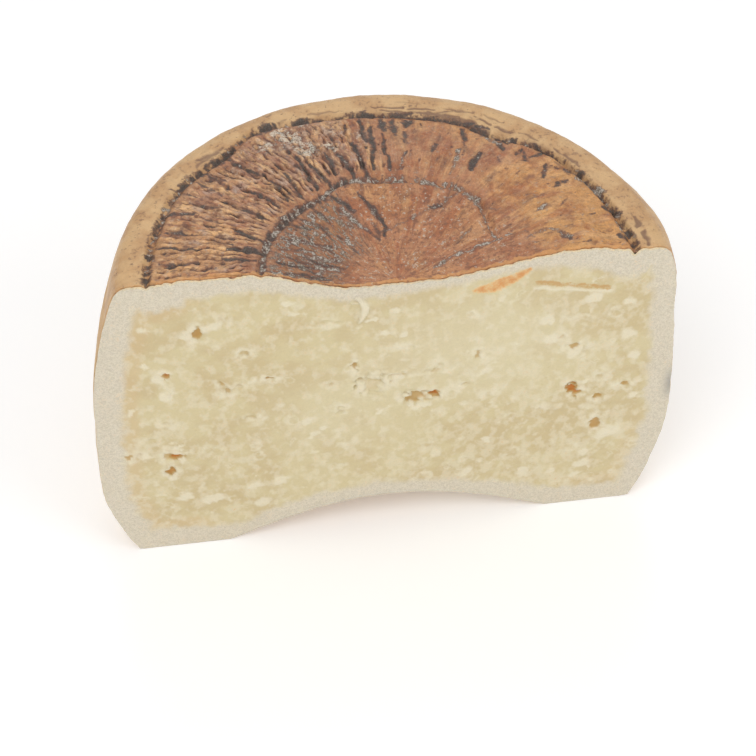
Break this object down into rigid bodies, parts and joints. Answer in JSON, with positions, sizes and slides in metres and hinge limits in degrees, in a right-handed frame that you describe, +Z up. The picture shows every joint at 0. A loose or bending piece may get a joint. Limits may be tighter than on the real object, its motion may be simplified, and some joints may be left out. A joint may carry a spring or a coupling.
{
  "type": "half wheel of hard cheese",
  "caption": "Half a wheel of hard sheep's cheese with a ridged, sunken brown top, bulging ochre wall and flat pale cut face, standing on its base.",
  "frame": {"origin": "centre of the bottom of the piece's box, on the plane that the foot rests on", "axes": "+Z up along the wheel's axis, X along the cut face, -Y out of the cut face"},
  "size_m": [0.2204, 0.1098, 0.1461],
  "materials": {
    "rind": "matte",
    "paste": "matte"
  },
  "bodies": {
    "root": {"half_wheel": "rind"}
  },
  "joints": []
}
